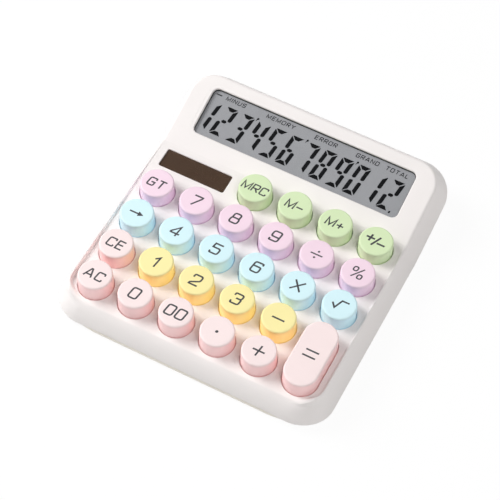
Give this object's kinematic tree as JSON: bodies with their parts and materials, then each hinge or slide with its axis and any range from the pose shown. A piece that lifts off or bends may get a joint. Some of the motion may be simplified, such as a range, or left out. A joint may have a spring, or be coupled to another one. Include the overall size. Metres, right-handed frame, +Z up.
{
  "type": "desk calculator",
  "caption": "Desk calculator: sloping key deck of round sprung keys in a rounded bent-slab case, tilted display window, solar window, base tray with a sliding battery door.",
  "frame": {"origin": "on the table, under the middle of the case", "axes": "+X to the right, +Y from the user to the back, +Z up; keys press along -Z"},
  "size_m": [0.1472, 0.1578, 0.0294],
  "materials": {
    "case": "fine satin, off-white",
    "base": "satin, cream",
    "clear_pane": "clear acrylic",
    "polariser": "smooth film",
    "display_glass": "thin display glass",
    "reflector": "grey reflective film",
    "frame_plastic": "moulded",
    "ribbon": "amber film with printed tracks",
    "screw_steel": "zinc plated",
    "screw_dark": "black zinc",
    "dark_pane": "dark tinted acrylic",
    "solar_glass": "amorphous cell glass, dark brown",
    "wire": "insulated wire",
    "grey_rubber": "silicone",
    "carbon": "printed carbon",
    "board": "green solder mask",
    "black_epoxy": "cured epoxy",
    "component": "small parts",
    "cell_jacket": "printed cell jacket",
    "spring_steel": "nickel plated",
    "dark_rubber": "soft",
    "pink_key": "satin, pastel pink",
    "yellow_key": "satin, pastel yellow",
    "cyan_key": "satin, pastel cyan",
    "lavender_key": "satin, pastel lavender",
    "green_key": "satin, pastel green"
  },
  "bodies": {
    "case": {"upper_case": "case", "lower_case": "base", "display_window": "clear_pane", "front_polariser": "polariser", "lcd_front_glass": "display_glass", "lcd_rear_glass": "display_glass", "rear_reflector": "reflector", "lcd_frame": "frame_plastic", "lcd_ribbon": "ribbon", "frame_screws": "screw_steel", "solar_window": "dark_pane", "solar_cell": "solar_glass", "solar_wires": "wire", "rubber_dome_mat": "grey_rubber", "contact_pads": "carbon", "main_circuit_board": "board", "chip_blob": "black_epoxy", "board_components": "component", "board_screws": "screw_steel", "case_screws": "screw_dark", "battery": "cell_jacket", "battery_spring": "spring_steel", "battery_positive_contact": "spring_steel", "battery_wires": "wire", "rubber_feet": "dark_rubber"},
    "door": {"battery_door": "base"},
    "key_ac_body": {"key_ac": "pink_key"},
    "key_0_body": {"key_0": "pink_key"},
    "key_00_body": {"key_00": "pink_key"},
    "key_point_body": {"key_point": "pink_key"},
    "key_plus_body": {"key_plus": "pink_key"},
    "key_equals_body": {"key_equals": "pink_key"},
    "key_ce_body": {"key_ce": "pink_key"},
    "key_1_body": {"key_1": "yellow_key"},
    "key_2_body": {"key_2": "yellow_key"},
    "key_3_body": {"key_3": "yellow_key"},
    "key_minus_body": {"key_minus": "yellow_key"},
    "key_backspace_body": {"key_backspace": "cyan_key"},
    "key_4_body": {"key_4": "cyan_key"},
    "key_5_body": {"key_5": "cyan_key"},
    "key_6_body": {"key_6": "cyan_key"},
    "key_times_body": {"key_times": "cyan_key"},
    "key_root_body": {"key_root": "cyan_key"},
    "key_grand_total_body": {"key_grand_total": "lavender_key"},
    "key_7_body": {"key_7": "lavender_key"},
    "key_8_body": {"key_8": "lavender_key"},
    "key_9_body": {"key_9": "lavender_key"},
    "key_divide_body": {"key_divide": "lavender_key"},
    "key_percent_body": {"key_percent": "lavender_key"},
    "key_memory_recall_body": {"key_memory_recall": "green_key"},
    "key_memory_minus_body": {"key_memory_minus": "green_key"},
    "key_memory_plus_body": {"key_memory_plus": "green_key"},
    "key_sign_body": {"key_sign": "green_key"}
  },
  "joints": [
    {"name": "key_ac_press", "type": "slide", "parent": "case", "child": "key_ac_body", "axis": [0, 0, -1], "range_m": [0, 0.002], "stiffness_N_per_m": 300, "springref_m": -0.0003},
    {"name": "key_0_press", "type": "slide", "parent": "case", "child": "key_0_body", "axis": [0, 0, -1], "range_m": [0, 0.002], "stiffness_N_per_m": 300, "springref_m": -0.0003},
    {"name": "key_00_press", "type": "slide", "parent": "case", "child": "key_00_body", "axis": [0, 0, -1], "range_m": [0, 0.002], "stiffness_N_per_m": 300, "springref_m": -0.0003},
    {"name": "key_point_press", "type": "slide", "parent": "case", "child": "key_point_body", "axis": [0, 0, -1], "range_m": [0, 0.002], "stiffness_N_per_m": 300, "springref_m": -0.0003},
    {"name": "key_plus_press", "type": "slide", "parent": "case", "child": "key_plus_body", "axis": [0, 0, -1], "range_m": [0, 0.002], "stiffness_N_per_m": 300, "springref_m": -0.0003},
    {"name": "key_equals_press", "type": "slide", "parent": "case", "child": "key_equals_body", "axis": [0, 0, -1], "range_m": [0, 0.002], "stiffness_N_per_m": 300, "springref_m": -0.0003},
    {"name": "key_ce_press", "type": "slide", "parent": "case", "child": "key_ce_body", "axis": [0, 0, -1], "range_m": [0, 0.002], "stiffness_N_per_m": 300, "springref_m": -0.0003},
    {"name": "key_1_press", "type": "slide", "parent": "case", "child": "key_1_body", "axis": [0, 0, -1], "range_m": [0, 0.002], "stiffness_N_per_m": 300, "springref_m": -0.0003},
    {"name": "key_2_press", "type": "slide", "parent": "case", "child": "key_2_body", "axis": [0, 0, -1], "range_m": [0, 0.002], "stiffness_N_per_m": 300, "springref_m": -0.0003},
    {"name": "key_3_press", "type": "slide", "parent": "case", "child": "key_3_body", "axis": [0, 0, -1], "range_m": [0, 0.002], "stiffness_N_per_m": 300, "springref_m": -0.0003},
    {"name": "key_minus_press", "type": "slide", "parent": "case", "child": "key_minus_body", "axis": [0, 0, -1], "range_m": [0, 0.002], "stiffness_N_per_m": 300, "springref_m": -0.0003},
    {"name": "key_backspace_press", "type": "slide", "parent": "case", "child": "key_backspace_body", "axis": [0, 0, -1], "range_m": [0, 0.002], "stiffness_N_per_m": 300, "springref_m": -0.0003},
    {"name": "key_4_press", "type": "slide", "parent": "case", "child": "key_4_body", "axis": [0, 0, -1], "range_m": [0, 0.002], "stiffness_N_per_m": 300, "springref_m": -0.0003},
    {"name": "key_5_press", "type": "slide", "parent": "case", "child": "key_5_body", "axis": [0, 0, -1], "range_m": [0, 0.002], "stiffness_N_per_m": 300, "springref_m": -0.0003},
    {"name": "key_6_press", "type": "slide", "parent": "case", "child": "key_6_body", "axis": [0, 0, -1], "range_m": [0, 0.002], "stiffness_N_per_m": 300, "springref_m": -0.0003},
    {"name": "key_times_press", "type": "slide", "parent": "case", "child": "key_times_body", "axis": [0, 0, -1], "range_m": [0, 0.002], "stiffness_N_per_m": 300, "springref_m": -0.0003},
    {"name": "key_root_press", "type": "slide", "parent": "case", "child": "key_root_body", "axis": [0, 0, -1], "range_m": [0, 0.002], "stiffness_N_per_m": 300, "springref_m": -0.0003},
    {"name": "key_grand_total_press", "type": "slide", "parent": "case", "child": "key_grand_total_body", "axis": [0, 0, -1], "range_m": [0, 0.002], "stiffness_N_per_m": 300, "springref_m": -0.0003},
    {"name": "key_7_press", "type": "slide", "parent": "case", "child": "key_7_body", "axis": [0, 0, -1], "range_m": [0, 0.002], "stiffness_N_per_m": 300, "springref_m": -0.0003},
    {"name": "key_8_press", "type": "slide", "parent": "case", "child": "key_8_body", "axis": [0, 0, -1], "range_m": [0, 0.002], "stiffness_N_per_m": 300, "springref_m": -0.0003},
    {"name": "key_9_press", "type": "slide", "parent": "case", "child": "key_9_body", "axis": [0, 0, -1], "range_m": [0, 0.002], "stiffness_N_per_m": 300, "springref_m": -0.0003},
    {"name": "key_divide_press", "type": "slide", "parent": "case", "child": "key_divide_body", "axis": [0, 0, -1], "range_m": [0, 0.002], "stiffness_N_per_m": 300, "springref_m": -0.0003},
    {"name": "key_percent_press", "type": "slide", "parent": "case", "child": "key_percent_body", "axis": [0, 0, -1], "range_m": [0, 0.002], "stiffness_N_per_m": 300, "springref_m": -0.0003},
    {"name": "key_memory_recall_press", "type": "slide", "parent": "case", "child": "key_memory_recall_body", "axis": [0, 0, -1], "range_m": [0, 0.002], "stiffness_N_per_m": 300, "springref_m": -0.0003},
    {"name": "key_memory_minus_press", "type": "slide", "parent": "case", "child": "key_memory_minus_body", "axis": [0, 0, -1], "range_m": [0, 0.002], "stiffness_N_per_m": 300, "springref_m": -0.0003},
    {"name": "key_memory_plus_press", "type": "slide", "parent": "case", "child": "key_memory_plus_body", "axis": [0, 0, -1], "range_m": [0, 0.002], "stiffness_N_per_m": 300, "springref_m": -0.0003},
    {"name": "key_sign_press", "type": "slide", "parent": "case", "child": "key_sign_body", "axis": [0, 0, -1], "range_m": [0, 0.002], "stiffness_N_per_m": 300, "springref_m": -0.0003},
    {"name": "battery_door_slide", "type": "slide", "parent": "case", "child": "door", "axis": [0, 1, 0], "range_m": [0, 0.022]}
  ]
}
